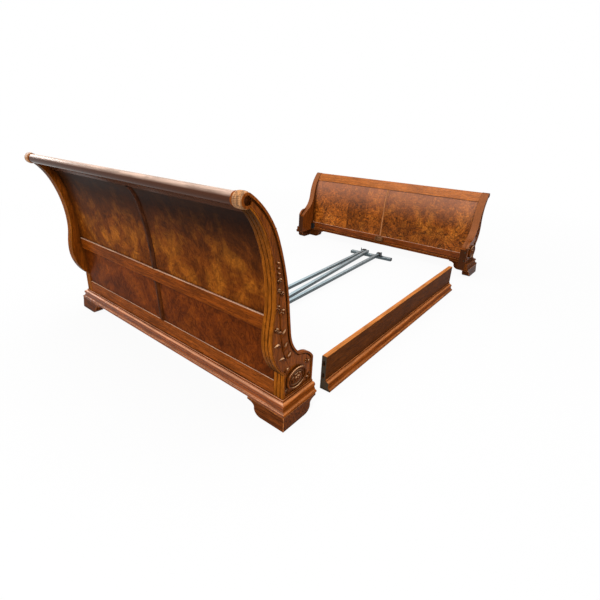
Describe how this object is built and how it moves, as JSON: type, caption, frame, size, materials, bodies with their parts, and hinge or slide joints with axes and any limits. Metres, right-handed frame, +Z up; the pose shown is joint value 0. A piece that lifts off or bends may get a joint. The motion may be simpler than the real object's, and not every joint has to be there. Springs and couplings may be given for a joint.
{
  "type": "sleigh bed",
  "caption": "Sleigh bed taken apart in its own order: rolled, carved headboard and footboard, moulded side rails and a loose steel centre support.",
  "frame": {"origin": "middle of the overall box on the floor, under the bed as it is set out", "axes": "+Z up, +Y along the bed towards the headboard, X across the bed"},
  "size_m": [1.798, 2.9204, 1.0415],
  "materials": {
    "lacquered_wood": "gloss lacquer",
    "burl_panel": "gloss lacquer over burl veneer",
    "carved_wood": "satin, carved",
    "plain_wood": "sawn",
    "zinc_steel": "zinc plated",
    "socket_steel": "zinc plated",
    "black_steel": "satin black",
    "black_plastic": "matte"
  },
  "bodies": {
    "footboard": {"footboard_back_moulding": "lacquered_wood", "footboard_bottom_rail": "lacquered_wood", "footboard_corner_brackets": "black_steel", "footboard_crest": "lacquered_wood", "footboard_left_bracket_foot": "lacquered_wood", "footboard_left_moulding": "lacquered_wood", "footboard_left_panel": "burl_panel", "footboard_left_post": "lacquered_wood", "footboard_left_reeding": "lacquered_wood", "footboard_medallions": "carved_wood", "footboard_plinth_board": "lacquered_wood", "footboard_rail_bolts": "zinc_steel", "footboard_right_bracket_foot": "lacquered_wood", "footboard_right_moulding": "lacquered_wood", "footboard_right_panel": "burl_panel", "footboard_right_post": "lacquered_wood", "footboard_right_reeding": "lacquered_wood", "footboard_stile": "lacquered_wood", "footboard_support_socket": "socket_steel"},
    "headboard": {"headboard_back_moulding": "lacquered_wood", "headboard_bottom_rail": "lacquered_wood", "headboard_collars": "carved_wood", "headboard_corner_brackets": "black_steel", "headboard_crest": "lacquered_wood", "headboard_left_bracket_foot": "lacquered_wood", "headboard_left_moulding": "lacquered_wood", "headboard_left_post": "lacquered_wood", "headboard_left_reeding": "lacquered_wood", "headboard_lower_left_panel": "burl_panel", "headboard_lower_right_panel": "burl_panel", "headboard_lower_stile": "lacquered_wood", "headboard_medallions": "carved_wood", "headboard_middle_rail": "lacquered_wood", "headboard_plinth_board": "lacquered_wood", "headboard_rail_bolts": "zinc_steel", "headboard_right_bracket_foot": "lacquered_wood", "headboard_right_moulding": "lacquered_wood", "headboard_right_post": "lacquered_wood", "headboard_right_reeding": "lacquered_wood", "headboard_support_socket": "socket_steel", "headboard_upper_left_panel": "burl_panel", "headboard_upper_right_panel": "burl_panel", "headboard_upper_stile": "lacquered_wood"},
    "left_rail": {"left_rail_board": "lacquered_wood", "left_rail_end_plates": "black_steel", "left_rail_ledger": "plain_wood", "left_rail_moulding": "lacquered_wood"},
    "right_rail": {"right_rail_board": "lacquered_wood", "right_rail_end_plates": "black_steel", "right_rail_ledger": "plain_wood", "right_rail_moulding": "lacquered_wood"},
    "centre_support": {"support_brace": "zinc_steel", "support_clips": "black_steel", "support_end_caps": "black_plastic", "support_foot_cross_tube": "zinc_steel", "support_head_cross_tube": "zinc_steel", "support_left_tube": "zinc_steel", "support_right_tube": "zinc_steel", "support_studs": "zinc_steel"}
  },
  "joints": [
    {"name": "footboard_slide", "type": "slide", "parent": "headboard", "child": "footboard", "axis": [0, 1, 0], "range_m": [0, 0.448]},
    {"name": "right_rail_slide", "type": "slide", "parent": "headboard", "child": "right_rail", "axis": [0, 0.8546, 0.5193], "range_m": [0, 0.13866]},
    {"name": "left_rail_slide", "type": "slide", "parent": "headboard", "child": "left_rail", "axis": [0, 0.5342, 0.8453], "range_m": [0, 0.08517]},
    {"name": "support_slide", "type": "slide", "parent": "headboard", "child": "centre_support", "axis": [0, 1, 0], "range_m": [0, 0.448]}
  ],
  "couplings": [
    {"joint": "right_rail_slide", "follows": "footboard_slide", "ratio": 0.30951},
    {"joint": "left_rail_slide", "follows": "footboard_slide", "ratio": 0.19012},
    {"joint": "support_slide", "follows": "footboard_slide", "ratio": 1}
  ]
}
